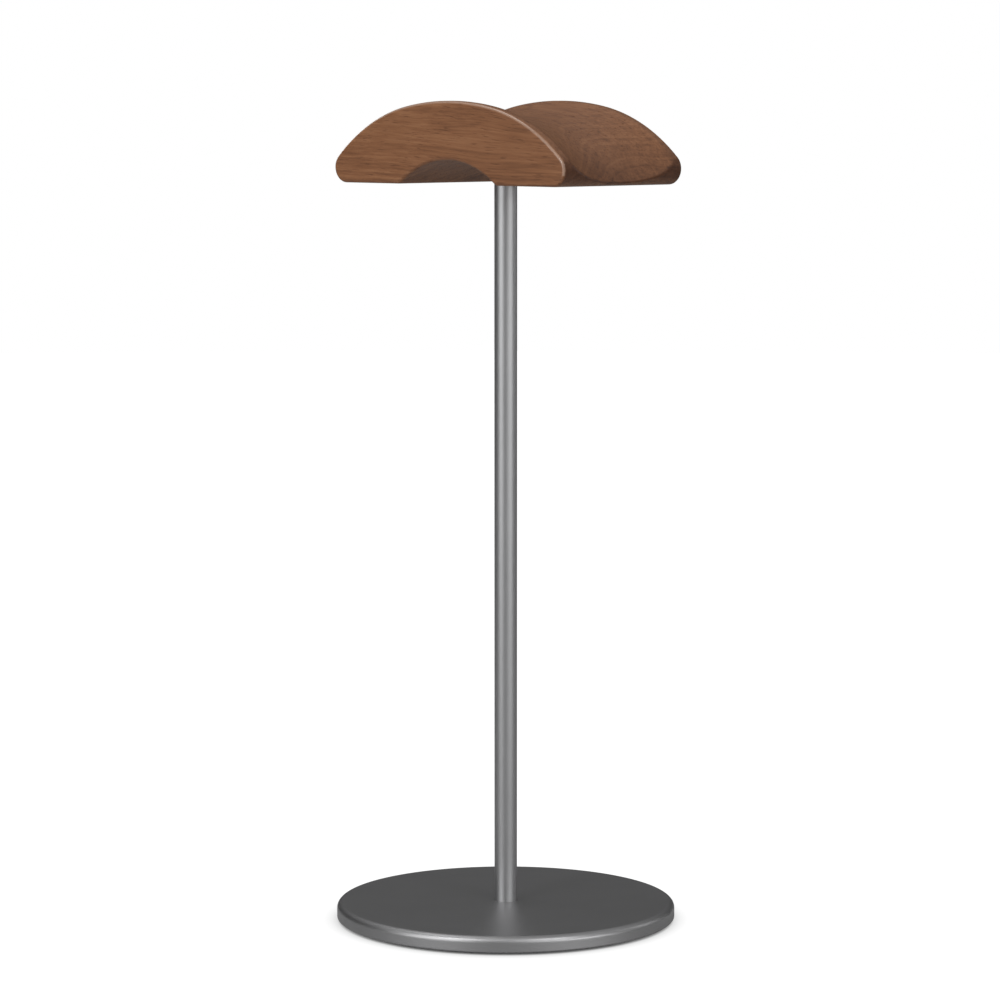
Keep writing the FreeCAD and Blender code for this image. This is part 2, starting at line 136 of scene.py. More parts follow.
def cutWith(piece, tool):
    cut = piece.modifiers.new("cut", "BOOLEAN")
    cut.object = tool
    cut.operation = "DIFFERENCE"
    cut.solver = "EXACT"
    depsgraph = bpy.context.evaluated_depsgraph_get()
    piece.data = bpy.data.meshes.new_from_object(piece.evaluated_get(depsgraph))
    piece.modifiers.clear()
    bpy.data.objects.remove(tool)


# small helpers for materials

def newMaterial(name):
    material = bpy.data.materials.new(name)
    material.use_nodes = True
    return material, material.node_tree, material.node_tree.nodes["Principled BSDF"]


def addNode(tree, kind, **settings):
    node = tree.nodes.new(kind)
    for key, value in settings.items():
        if key in node.inputs:
            node.inputs[key].default_value = value
        else:
            setattr(node, key, value)
    return node


def plug(tree, value, socket):
    # a number or colour is set on the socket, anything else is linked to it
    if isinstance(value, (int, float)):
        socket.default_value = value
    elif isinstance(value, tuple):
        socket.default_value = (*value, 1) if len(socket.default_value) == 4 else value
    else:
        tree.links.new(value, socket)


def addMath(tree, operation, first, second):
    node = addNode(tree, "ShaderNodeMath", operation=operation)
    plug(tree, first, node.inputs[0])
    plug(tree, second, node.inputs[1])
    return node.outputs[0]


def addSum(tree, *weighted):
    total = 0.0
    for source, weight in weighted:
        total = addMath(tree, "ADD", addMath(tree, "MULTIPLY", source, weight), total)
    return total


def addVectorMath(tree, operation, first, second):
    node = addNode(tree, "ShaderNodeVectorMath", operation=operation)
    plug(tree, first, node.inputs[0])
    plug(tree, second, node.inputs[1])
    return node.outputs["Value"] if operation == "DOT_PRODUCT" else node.outputs[0]


def addNoise(tree, vector, scale, detail, roughness):
    node = addNode(tree, "ShaderNodeTexNoise", Scale=scale, Detail=detail, Roughness=roughness)
    tree.links.new(vector, node.inputs["Vector"])
    return node


def addMap(tree, source, scale):
    node = addNode(tree, "ShaderNodeMapping")
    node.inputs["Scale"].default_value = scale
    tree.links.new(source, node.inputs["Vector"])
    return node.outputs[0]


def addFade(tree, source, start, end):
    # 0 before start, 1 after end, smooth between them
    node = addNode(tree, "ShaderNodeMapRange", interpolation_type="SMOOTHSTEP")
    node.inputs["From Min"].default_value = start
    node.inputs["From Max"].default_value = end
    tree.links.new(source, node.inputs["Value"])
    return node.outputs[0]


def addRamp(tree, source, stops):
    node = addNode(tree, "ShaderNodeValToRGB")
    elements = node.color_ramp.elements
    for _ in stops[2:]:
        elements.new(0.5)
    for element, (place, colour) in zip(elements, stops):
        element.position, element.color = place, (*colour, 1)
    tree.links.new(source, node.inputs["Fac"])
    return node.outputs["Color"]


def mixColours(tree, blend, amount, first, second):
    node = addNode(tree, "ShaderNodeMix", data_type="RGBA", blend_type=blend)
    for value, socket in ((amount, node.inputs[0]), (first, node.inputs[6]), (second, node.inputs[7])):
        plug(tree, value, socket)
    return node.outputs[2]


def addBump(tree, shader, height, strength, distance):
    node = addNode(tree, "ShaderNodeBump", Strength=strength, Distance=distance)
    tree.links.new(height, node.inputs["Height"])
    tree.links.new(node.outputs[0], shader.inputs["Normal"])


# camera

cameraValues = {
    "azimuth": 45.0,           # degrees round from the front, towards +X
    "distance": 1.306,         # level distance from the rod
    "height": 0.290,
    "aimHeight": 0.1494,
    "lens": 134.3,
    "shiftX": -0.00575,
    "farthest": 50,
}


def standAt(thing, azimuth, distance, height, aimHeight):
    turn = math.radians(azimuth)
    thing.location = (distance * math.sin(turn), -distance * math.cos(turn), height)
    look = Vector((0, 0, aimHeight)) - thing.location
    thing.rotation_mode = "QUATERNION"
    thing.rotation_quaternion = look.to_track_quat("-Z", "Y")
    bpy.context.scene.collection.objects.link(thing)


def makeCamera(values):
    data = bpy.data.cameras.new("camera")
    data.lens = values["lens"]
    data.shift_x = values["shiftX"]
    data.clip_end = values["farthest"]
    camera = bpy.data.objects.new("camera", data)
    standAt(camera, values["azimuth"], values["distance"], values["height"], values["aimHeight"])
    bpy.context.scene.camera = camera


makeCamera(cameraValues)
print("camera set")


# saddle: one block of walnut

saddleValues = {
    "crownRadius": 112.0 * mm,
    "crownHalfAngle": 10.8,
    "cornerRadius": 5.5 * mm,
    "rimWidth": 3.6 * mm,
    "valleyDepth": 6.4 * mm,
    "edgeRound": 1.2 * mm,
    "lipSoftness": 0.22 * mm,      # how far the rim's inner edge is sanded
    "exitSoftness": 0.8 * mm,      # the same where the valley runs out over the lower corners
    "exitTurn": -18,               # degrees from level that the valley is cut where it runs out
    "turnEasing": 1.5,             # how late round the corner that cut turns, and how late it sharpens
    "lipEasing": 4,
    "tunnelRadius": 37.5 * mm,
    "tunnelHeight": 8.4 * mm,
    "tunnelLip": 2.2 * mm,
    "seatRadius": 4.05 * mm,
    "seatDepth": 1.0 * mm,
    "insertRadius": 3.5 * mm,
    "insertDepth": 9.0 * mm,
    "spacing": 0.9 * mm,           # between points along the outline
    "rowSpacing": 0.6 * mm,        # between points from front to back
    "cornerSteps": 26,
    "edgeSteps": 8,
    "faceRows": 14,
    "highlightAngle": 40,               # degrees round the edge where the painted highlight and the polish peak, and how far either side
    "highlightSpread": 28,
    "highlightBelow": -0.3,             # edges that face further down than this get no painted highlight and no polish
    "sharpAngle": 40,
}


def shoulderArc(values, width, height):
    # centre and radius of the arc between the crown and the lower corner
    turn = math.radians(values["crownHalfAngle"])
    corner = values["cornerRadius"]
    across = values["crownRadius"] * math.sin(turn) - (width / 2 - corner)
    rise = height - values["crownRadius"] * (1 - math.cos(turn)) - corner
    over = across ** 2 + rise ** 2 - corner ** 2
    radius = over / (2 * (across * math.sin(turn) + rise * math.cos(turn) - corner))
    middle = values["crownRadius"] - radius
    return middle * math.sin(turn), height - values["crownRadius"] + middle * math.cos(turn), radius


def upperPoint(values, width, height, x):
    # point of the outline above x, and its outward normal
    shoulderX, shoulderZ, shoulderRadius = shoulderArc(values, width, height)
    flat = width / 2 - values["cornerRadius"]
    low = math.atan2(values["cornerRadius"] - shoulderZ, flat - shoulderX)
    if x <= values["crownRadius"] * math.sin(math.radians(values["crownHalfAngle"])):
        centre, radius = Vector((0, height - values["crownRadius"])), values["crownRadius"]
    elif x <= shoulderX + shoulderRadius * math.cos(low):
        centre, radius = Vector((shoulderX, shoulderZ)), shoulderRadius
    else:
        centre, radius = Vector((flat, values["cornerRadius"])), values["cornerRadius"]
    along = min((x - centre.x) / radius, 1)
    normal = Vector((along, math.sqrt(1 - along ** 2)))
    return centre + normal * radius, normal


def lowerPoint(values, width, x):
    flat = width / 2 - values["cornerRadius"]
    lip, tunnel = values["tunnelLip"], values["tunnelRadius"]
    tunnelZ = values["tunnelHeight"] - tunnel
    lipX = math.sqrt((tunnel + lip) ** 2 - (lip - tunnelZ) ** 2)
    if x < lipX * tunnel / (tunnel + lip):
        along = x / tunnel
        ray = Vector((along, math.sqrt(1 - along ** 2)))
        return Vector((0, tunnelZ)) + ray * tunnel, -ray
    if x < lipX:
        along = (x - lipX) / lip
        normal = Vector((along, -math.sqrt(1 - along ** 2)))
        return Vector((lipX, lip)) + normal * lip, normal
    if x <= flat:
        return Vector((x, 0)), Vector((0, -1))
    along = min((x - flat) / values["cornerRadius"], 1)
    normal = Vector((along, -math.sqrt(1 - along ** 2)))
    return Vector((flat, values["cornerRadius"])) + normal * values["cornerRadius"], normal


def softMax(value, softness):
    # value where it is well above 0, otherwise 0, with a rounded bend between
    if value >= softness:
        return value
    if value <= -softness:
        return 0.0
    return (value + softness) ** 2 / (4 * softness)


def digValley(values, width, depth, height, point, normal, y):
    # how far, and which way, the valley moves one point of the outline
    reach = depth / 2 - values["rimWidth"]
    radius = (reach ** 2 + values["valleyDepth"] ** 2) / (2 * values["valleyDepth"])
    dip = values["valleyDepth"] - radius + math.sqrt(radius ** 2 - y ** 2)
    shoulderX, shoulderZ, shoulderRadius = shoulderArc(values, width, height)
    flat = width / 2 - values["cornerRadius"]
    low = math.atan2(values["cornerRadius"] - shoulderZ, flat - shoulderX)
    lean = math.atan2(normal.y, normal.x)
    if lean >= low:
        return softMax(dip, values["lipSoftness"]), -normal
    # round the lower corner the cut turns level, so that it never folds over itself
    share = max(0.0, (lean + math.pi / 2) / (low + math.pi / 2))
    exitTurn = math.radians(values["exitTurn"])
    turned = exitTurn + (low - exitTurn) * share ** values["turnEasing"]
    inward = Vector((-math.cos(turned), -math.sin(turned)))
    fromCentre = point - Vector((shoulderX, shoulderZ))
    dot = fromCentre.dot(inward)
    inside = dot ** 2 - fromCentre.length_squared + (shoulderRadius - dip) ** 2
    if inside <= 0:
        return 0.0, inward
    sharper = values["lipSoftness"] - values["exitSoftness"]
    softness = values["exitSoftness"] + sharper * share ** values["lipEasing"]
    return softMax(-dot - math.sqrt(inside), softness), inward


def saddleRows(values, depth):
    # places from the front face to the back face, with how far each rounded edge is set in
    edge = values["edgeRound"]
    rows = []
    for index in range(values["edgeSteps"] + 1):
        angle = math.pi / 2 * index / values["edgeSteps"]
        rows.append((edge * (1 - math.cos(angle)) - depth / 2, edge * (1 - math.sin(angle))))
    inner = depth / 2 - edge
    count = round(2 * inner / values["rowSpacing"])
    middle = [(2 * inner * index / count - inner, 0.0) for index in range(1, count)]
    return rows + middle + [(-y, inset) for y, inset in reversed(rows)]


def makeSaddle(values):
    low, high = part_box("cradle")
    width, depth, height = high.x - low.x, high.y - low.y, high.z - low.z
    flat = width / 2 - values["cornerRadius"]
    count = round(flat / values["spacing"])
    xs = [flat * index / count for index in range(count)]
    for index in range(values["cornerSteps"] + 1):
        xs.append(flat + values["cornerRadius"] * math.sin(math.pi / 2 * index / values["cornerSteps"]))

    # one closed loop: over the top from left to right, back along the underside
    right = [(*upperPoint(values, width, height, x), 1) for x in xs]
    under = [(*lowerPoint(values, width, x), 1) for x in xs]
    top = [(p, n, -1) for p, n, _ in reversed(right[1:])] + right
    bottom = list(reversed(under[:-1])) + [(p, n, -1) for p, n, _ in under[1:-1]]
    loop = top + bottom
    size = len(loop)

    points, faces, edgeMask = [], [], []
    rows = saddleRows(values, depth)
    for y, inset in rows:
        for point, normal, side in loop:
            if point.y < values["cornerRadius"] and point.x < flat:
                dug, way = 0.0, normal
            else:
                dug, way = digValley(values, width, depth, height, point, normal, y)
            moved = point - normal * inset + way * dug
            points.append((moved.x * side, y, low.z + moved.y))
            # the upper edges, which get a painted highlight and a polished coat
            roundShare = min((depth / 2 - abs(y)) / values["edgeRound"], 1)
            fromHighlightPeak = (math.degrees(math.acos(1 - roundShare)) - values["highlightAngle"]) / values["highlightSpread"]
            edgeMask.append(max(1 - fromHighlightPeak ** 2, 0) if normal.y > values["highlightBelow"] else 0.0)
    for row in range(len(rows) - 1):
        for index in range(size):
            after = (index + 1) % size
            faces.append((row * size + index, row * size + after,
                          (row + 1) * size + after, (row + 1) * size + index))

    # both faces: columns of quads between the top of the outline and the underside
    for row in (0, len(rows) - 1):
        start = row * size
        upperRing = [start + index for index in range(len(top))]
        lowerRing = [start + size - 1 - index for index in range(len(bottom))]
        lowerRing = [upperRing[0]] + lowerRing + [upperRing[-1]]
        columns = []
        for upper, lower in zip(upperRing, lowerRing):
            column = [upper]
            if upper != lower:
                for step in range(1, values["faceRows"]):
                    share = step / values["faceRows"]
                    column.append(len(points))
                    points.append(tuple(Vector(points[upper]).lerp(Vector(points[lower]), share)))
                    edgeMask.append(0.0)
                column.append(lower)
            columns.append(column)
        for leftColumn, rightColumn in zip(columns, columns[1:]):
            if len(leftColumn) == 1:
                leftColumn = leftColumn * len(rightColumn)
            if len(rightColumn) == 1:
                rightColumn = rightColumn * len(leftColumn)
            for step in range(values["faceRows"]):
                corners = [leftColumn[step], leftColumn[step + 1], rightColumn[step + 1], rightColumn[step]]
                faces.append(tuple(dict.fromkeys(corners)))

    saddle = newPiece("walnutSaddle", points, faces, values["sharpAngle"])
    # mask of the painted edge highlight, also used for the polish and roughness
    mask = saddle.data.attributes.new("polishAndPaintedHighlight", "FLOAT", "POINT")
    mask.data.foreach_set("value", edgeMask)

    # seat for the rod and hole for the insert
    ceiling = low.z + values["tunnelHeight"]
    seatTop = ceiling + values["seatDepth"]
    holeTop = seatTop + values["insertDepth"]
    below = ceiling - values["tunnelLip"]
    cutWith(saddle, turnedPiece("boreTool", [
        [(0, 0, below)], circleRing(values["seatRadius"], below), circleRing(values["seatRadius"], seatTop),
        circleRing(values["insertRadius"], seatTop), circleRing(values["insertRadius"], holeTop),
        [(0, 0, holeTop)]]))
    saddle.data.set_sharp_from_angle(angle=math.radians(values["sharpAngle"]))
    return settle(saddle, "cradle")


saddle = makeSaddle(saddleValues)
print("saddle made:", len(saddle.data.polygons), "faces")


# foot: turned plate with a hollow for the ballast

footValues = {
    "edgeRound": 2.2 * mm,
    "lowerBreak": 0.4 * mm,
    "rodSeatRadius": 4.05 * mm,
    "rodSeatDepth": 1.0 * mm,
    "seatBreak": 0.12 * mm,        # fine break where the rod enters
    "padRecessRadius": 57.0 * mm,
    "padRecessDepth": 0.5 * mm,
    "hollowRadius": 54.0 * mm,
    "hollowDepth": 3.0 * mm,
    "bossRadius": 11.0 * mm,
    "screwHoleRadius": 2.55 * mm,
    "screwHeadRadius": 5.05 * mm,
    "screwHeadRim": 0.3 * mm,
    "topShares": (0.25, 0.45, 0.65, 0.82),   # rings across the flat top, as shares of the radius
    "edgeSteps": 14,
    "lowerSteps": 6,
    "supportStep": 0.25 * mm,
}


def makeFoot(values):
    low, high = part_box("base_plate")
    radius = high.x
    edge, lower, step = values["edgeRound"], values["lowerBreak"], values["supportStep"]
    padTop = low.z + values["padRecessDepth"]
    hollowTop = padTop + values["hollowDepth"]
    seat = high.z - values["rodSeatDepth"]
    cone = values["screwHeadRadius"] - values["screwHoleRadius"]
    rimTop = padTop + values["screwHeadRim"]
    seatBreak = values["seatBreak"]
    rings = [circleRing(values["rodSeatRadius"], seat),
             circleRing(values["rodSeatRadius"], high.z - seatBreak),
             circleRing(values["rodSeatRadius"] + seatBreak, high.z),
             circleRing(values["rodSeatRadius"] + seatBreak + step, high.z)]
    rings += [circleRing(share * radius, high.z) for share in values["topShares"]]
    rings += [circleRing(radius - edge - step, high.z)]
    rings += arcRings(radius - edge, high.z - edge, edge, 90, 0, values["edgeSteps"])
    rings += [circleRing(radius, high.z - edge - step), circleRing(radius, low.z + lower + step)]
    rings += arcRings(radius - lower, low.z + lower, lower, 0, -90, values["lowerSteps"])
    # hollows of the underside, from the rim to the screw hole
    rings += [circleRing(values["padRecessRadius"], low.z), circleRing(values["padRecessRadius"], padTop),
              circleRing(values["hollowRadius"], padTop), circleRing(values["hollowRadius"], hollowTop),
              circleRing(values["bossRadius"], hollowTop), circleRing(values["bossRadius"], padTop),
              circleRing(values["screwHeadRadius"], padTop), circleRing(values["screwHeadRadius"], rimTop),
              circleRing(values["screwHoleRadius"], rimTop + cone),
              circleRing(values["screwHoleRadius"], seat)]
    return settle(turnedPiece("turnedFoot", rings, closed=True), "base_plate")


foot = makeFoot(footValues)
print("foot made")


# rod

rodValues = {
    "chamfer": 0.3 * mm,
    "tappedRadius": 2.55 * mm,
    "tappedDepth": 14.0 * mm,
    "lengths": 24,             # rings along the rod
}


def makeRod(values):
    low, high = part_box("pole")
    radius, chamfer, hole = high.x, values["chamfer"], values["tappedRadius"]
    rings = [[(0, 0, low.z + values["tappedDepth"])], circleRing(hole, low.z + values["tappedDepth"]),
             circleRing(hole, low.z), circleRing(radius - chamfer, low.z)]
    first, last = low.z + chamfer, high.z - chamfer
    rings += [circleRing(radius, first + (last - first) * index / values["lengths"])
              for index in range(values["lengths"] + 1)]
    rings += [circleRing(radius - chamfer, high.z), circleRing(hole, high.z),
              circleRing(hole, high.z - values["tappedDepth"]), [(0, 0, high.z - values["tappedDepth"])]]
    return settle(turnedPiece("satinRod", rings), "pole")


rod = makeRod(rodValues)
print("rod made")


# pad, ballast and tape under the foot

padValues = {
    "edgeBreak": 0.25 * mm,
    "ringRadii": [0.30, 0.62, 0.94],   # moulded grip rings, as shares of the radius
    "ringWidth": 1.6 * mm,
    "ringDepth": 0.12 * mm,
}

ballastValues = {
    "edgeBreak": 0.25 * mm,
    "holeRadius": 11.5 * mm,
}


def makePad(values):
    low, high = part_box("foot_pad")
    radius, edge = high.x, values["edgeBreak"]
    rings = [[(0, 0, high.z)], circleRing(radius - edge, high.z), circleRing(radius, high.z - edge),
             circleRing(radius, low.z + edge), circleRing(radius - edge, low.z)]
    for share in reversed(values["ringRadii"]):
        outer = radius * share
        inner = outer - values["ringWidth"]
        sunk = low.z + values["ringDepth"]
        slope = values["ringDepth"]
        rings += [circleRing(outer, low.z), circleRing(outer - slope, sunk),
                  circleRing(inner + slope, sunk), circleRing(inner, low.z)]
    rings.append([(0, 0, low.z)])
    return settle(turnedPiece("gripPad", rings), "foot_pad")


def makeWasher(name, node, values):
    low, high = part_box(node)
    radius, hole = high.x, values["holeRadius"]
    edge = min(values["edgeBreak"], (high.z - low.z) / 3)
    rings = [circleRing(hole, low.z + edge), circleRing(hole + edge, low.z), circleRing(radius - edge, low.z),
             circleRing(radius, low.z + edge), circleRing(radius, high.z - edge),
             circleRing(radius - edge, high.z), circleRing(hole + edge, high.z),
             circleRing(hole, high.z - edge)]
    return settle(turnedPiece(name, rings, closed=True), node)


pad = makePad(padValues)
ballast = makeWasher("ballastRing", "ballast_ring", ballastValues)
tape = makeWasher("ballastTape", "ballast_tape", ballastValues)
print("pad and ballast made")


# screw, stud and insert

threadValues = {
    "radius": 2.49 * mm,
    "depth": 0.45 * mm,
    "pitch": 0.8 * mm,
    "crest": 0.125,            # flat top of the thread and one flank, as shares of half the pitch
    "flank": 0.625,
    "lead": 0.9,               # how steeply the thread grows at its ends
    "rowsPerTurn": 16,
    "sharpAngle": 24,
}

screwValues = {
    "headRim": 0.3 * mm,
    "headHeight": 2.8 * mm,
    "headBreak": 0.12 * mm,
    "neck": 0.2 * mm,          # plain shank under the head
    "socketWidth": 3.0 * mm,
    "socketDepth": 1.9 * mm,
}

studValues = {
    "socketWidth": 2.5 * mm,
    "socketDepth": 2.5 * mm,
}

insertValues = {
    "holeRadius": 2.55 * mm,
    "holeBreak": 0.35 * mm,
    "grooves": 24,
    "grooveDepth": 0.22 * mm,
    "bands": [(0.06, 0.44), (0.56, 0.94)],   # knurled parts, as shares of the length
    "plainDepth": 0.35 * mm,
    "twist": 0.9,              # how steeply the knurling crosses
    "rows": 56,
    "sharpAngle": 45,
}


def socketRings(values, mouth, inward):
    floor = mouth + inward * values["socketDepth"]
    return [[(0, 0, floor)], hexRing(values["socketWidth"], floor), hexRing(values["socketWidth"], mouth)]


def makeScrew(values, thread):
    low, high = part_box("base_screw")
    radius, edge = high.x, values["headBreak"]
    rings = socketRings(values, low.z, 1)
    rings += [circleRing(radius - edge, low.z), circleRing(radius, low.z + edge),
              circleRing(radius, low.z + values["headRim"]),
              circleRing(thread["radius"], low.z + values["headHeight"])]
    rings += threadRings(thread, low.z + values["headHeight"] + values["neck"], high.z)
    rings.append([(0, 0, high.z)])
    return settle(turnedPiece("footScrew", rings, sharpAngle=thread["sharpAngle"]), "base_screw")


def makeStud(values, thread):
    low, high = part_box("cradle_stud")
    rings = [[(0, 0, low.z)]] + threadRings(thread, low.z, high.z)
    rings += list(reversed(socketRings(values, high.z, -1)))
    return settle(turnedPiece("saddleStud", rings, sharpAngle=thread["sharpAngle"]), "cradle_stud")


def makeInsert(values):
    low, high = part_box("cradle_insert")
    radius, hole, edge = high.x, values["holeRadius"], values["holeBreak"]
    length = high.z - low.z
    rings = [circleRing(hole, high.z - edge), circleRing(hole, low.z + edge),
             circleRing(hole + edge, low.z)]
    for row in range(values["rows"] + 1):
        share = row / values["rows"]
        knurled = any(start <= share <= end for start, end in values["bands"])
        ring = []
        for index in range(roundSteps):
            turn = 2 * math.pi * index / roundSteps
            lean = share * length / radius * values["twist"]
            one = math.cos(values["grooves"] * (turn + lean))
            other = math.cos(values["grooves"] * (turn - lean))
            dip = values["grooveDepth"] * (2 - one - other) / 4 if knurled else values["plainDepth"]
            out = radius - dip
            ring.append((out * math.cos(turn), out * math.sin(turn), low.z + length * share))
        rings.append(ring)
    rings.append(circleRing(hole + edge, high.z))
    piece = turnedPiece("knurledInsert", rings, closed=True, sharpAngle=values["sharpAngle"])
    return settle(piece, "cradle_insert")


screw = makeScrew(screwValues, threadValues)
stud = makeStud(studValues, threadValues)
insert = makeInsert(insertValues)
print("screw, stud and insert made")


# walnut

walnutValues = {
    # colours from the darkest tone to the lightest, and the tone that each belongs to
    "tones": [(0.34, (0.095, 0.038, 0.017)), (0.43, (0.172, 0.071, 0.031)),
              (0.51, (0.250, 0.106, 0.046)), (0.62, (0.335, 0.155, 0.072))],
    "heartBelow": 0.095,       # the tree's heart lies this far under the saddle
    "heartBehind": 0.030,
    "grainTilt": 3.2,          # degrees that the grain falls towards +X
    "grainTurn": -1.5,
    "waveScale": (13, 38, 38),
    "waviness": 0.007,
    # how fine each part of the figure is, along the grain and twice across it
    "fibreScale": (45, 1700, 1700),
    "strandScale": (14, 520, 520),
    "cloudScale": (22, 75, 75),
    "poreScale": (150, 2600, 2600),
    "broadRings": 0.17,        # changes in each millimetre from the heart
    "yearlyRings": 0.8,
    # how much each part of the figure moves the tone
    "broadTone": 0.12,
    "yearlyTone": 0.18,
    "fibreTone": 0.30,
    "strandTone": 0.20,
    "cloudTone": 0.12,
    "baseTone": 0.04,
    "sapward": 0.0011,         # lighter with each millimetre away from the heart
    "sapMiddle": 109.0,
    "poreRange": (0.61, 0.72),
    "poreColour": (0.34, 0.27, 0.23),
    "poreDark": 0.50,
    # ends: darker end grain, deepened further by painted shade
    "endRange": (0.45, 1.0),
    "endGrainShadeColour": (0.40, 0.33, 0.30),
    "endGrainAndShade": 0.85,
    "paintedHighlightAmount": 0.50,           # painted highlight: lighter wood along the upper edges, which are also smoother
    "paintedHighlightColour": (0.52, 0.35, 0.26),
    "roughness": 0.40,         # with what the fibres, the pores and the polished edges add to it
    "fibreRough": 0.16,
    "poreRough": 0.20,
    "edgeRough": -0.10,
    "fibreHeight": 0.4,
    "poreHeight": -1.0,
    "bump": 0.35,
    "bumpDepth": 0.00006,
    "specular": 0.36,
    "coat": 0.10,
    "edgeCoat": 0.90,          # clear polish on the same upper edges
    "coatRoughness": 0.14,
}


def makeHeartPlace(tree, values):
    # place in the tree: X along the grain, Y and Z across it from the heart, bent by slow waves
    place = addNode(tree, "ShaderNodeTexCoord").outputs["Object"]
    heart = addNode(tree, "ShaderNodeMapping", vector_type="TEXTURE")
    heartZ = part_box("cradle")[0].z - values["heartBelow"]
    heart.inputs["Location"].default_value = (0, values["heartBehind"], heartZ)
    turn = (0, math.radians(values["grainTilt"]), math.radians(values["grainTurn"]))
    heart.inputs["Rotation"].default_value = turn
    tree.links.new(place, heart.inputs["Vector"])
    wave = addNoise(tree, addMap(tree, heart.outputs[0], values["waveScale"]), 1.0, 2.0, 0.45)
    centred = addVectorMath(tree, "SUBTRACT", wave.outputs["Color"], (0.5, 0.5, 0.5))
    sized = addVectorMath(tree, "MULTIPLY", centred, (0, values["waviness"], values["waviness"]))
    return addVectorMath(tree, "ADD", heart.outputs[0], sized)


def addYearRings(tree, distance, scale, detail, roughness):
    node = addNode(tree, "ShaderNodeTexNoise", noise_dimensions="1D",
                   Scale=scale, Detail=detail, Roughness=roughness)
    tree.links.new(distance, node.inputs["W"])
    return node.outputs["Fac"]


def addFigure(tree, place, scale, detail, roughness):
    return addNoise(tree, addMap(tree, place, scale), 1.0, detail, roughness).outputs["Fac"]


def makeWalnut(values):
    material, tree, shader = newMaterial("oiledWalnut")
    links = tree.links
    bent = makeHeartPlace(tree, values)

    # yearly rings follow the distance from the heart, in millimetres
    ring = addNode(tree, "ShaderNodeVectorMath", operation="LENGTH")
    links.new(addVectorMath(tree, "MULTIPLY", bent, (0, 1000, 1000)), ring.inputs[0])
    distance = ring.outputs["Value"]
    broad = addYearRings(tree, distance, values["broadRings"], 2.0, 0.5)
    yearly = addYearRings(tree, distance, values["yearlyRings"], 3.0, 0.6)
    fibre = addFigure(tree, bent, values["fibreScale"], 4.0, 0.65)
    strand = addFigure(tree, bent, values["strandScale"], 3.0, 0.55)
    cloud = addFigure(tree, bent, values["cloudScale"], 3.0, 0.5)
    tone = addSum(tree, (broad, values["broadTone"]), (yearly, values["yearlyTone"]),
                  (fibre, values["fibreTone"]), (strand, values["strandTone"]),
                  (cloud, values["cloudTone"]), (distance, values["sapward"]),
                  (1.0, values["baseTone"] - values["sapward"] * values["sapMiddle"]))
    colour = addRamp(tree, tone, values["tones"])

    # pores: short dark dashes along the grain, dots on the end grain
    pores = addFade(tree, addFigure(tree, bent, values["poreScale"], 1.0, 0.4), *values["poreRange"])
    poreMask = addMath(tree, "MULTIPLY", pores, values["poreDark"])
    colour = mixColours(tree, "MULTIPLY", poreMask, colour, values["poreColour"])

    # cut across the grain, the ends are darker: partly the end grain's own tone, partly painted shade that
    # deepens it
    normal = addNode(tree, "ShaderNodeNewGeometry").outputs["Normal"]
    facing = addVectorMath(tree, "DOT_PRODUCT", normal, (1.0, 0.0, 0.0))
    endFacing = addFade(tree, addMath(tree, "ABSOLUTE", facing, 0.0), *values["endRange"])
    endGrainAndShadeMask = addMath(tree, "MULTIPLY", endFacing, values["endGrainAndShade"])
    colour = mixColours(tree, "MULTIPLY", endGrainAndShadeMask, colour, values["endGrainShadeColour"])

    # painted highlight: the upper edges are mixed towards a pale tone
    edge = addNode(tree, "ShaderNodeAttribute", attribute_name="polishAndPaintedHighlight").outputs["Fac"]
    edgeMask = addMath(tree, "MULTIPLY", edge, values["paintedHighlightAmount"])
    colour = mixColours(tree, "MIX", edgeMask, colour, values["paintedHighlightColour"])
    links.new(colour, shader.inputs["Base Color"])

    rough = addSum(tree, (fibre, values["fibreRough"]), (pores, values["poreRough"]),
                   (edge, values["edgeRough"]), (1.0, values["roughness"]))
    links.new(rough, shader.inputs["Roughness"])
    height = addSum(tree, (fibre, values["fibreHeight"]), (pores, values["poreHeight"]))
    addBump(tree, shader, height, values["bump"], values["bumpDepth"])
    coat = addSum(tree, (edge, values["edgeCoat"]), (1.0, values["coat"]))
    links.new(coat, shader.inputs["Coat Weight"])
    shader.inputs["Specular IOR Level"].default_value = values["specular"]
    shader.inputs["Coat Roughness"].default_value = values["coatRoughness"]
    return material


saddle.data.materials.append(makeWalnut(walnutValues))
print("walnut made")


# blasted, turned and moulded finishes

gritValues = {
    "grainsPerMetre": 6000.0,  # for a finish that doesn't give its own
    "cloudsPerMetre": 60.0,
    "ringsPerMetre": 1500.0,
    "roughSpread": 0.10,       # how much the grit changes the roughness
    "bumpDepth": 0.00002,
}


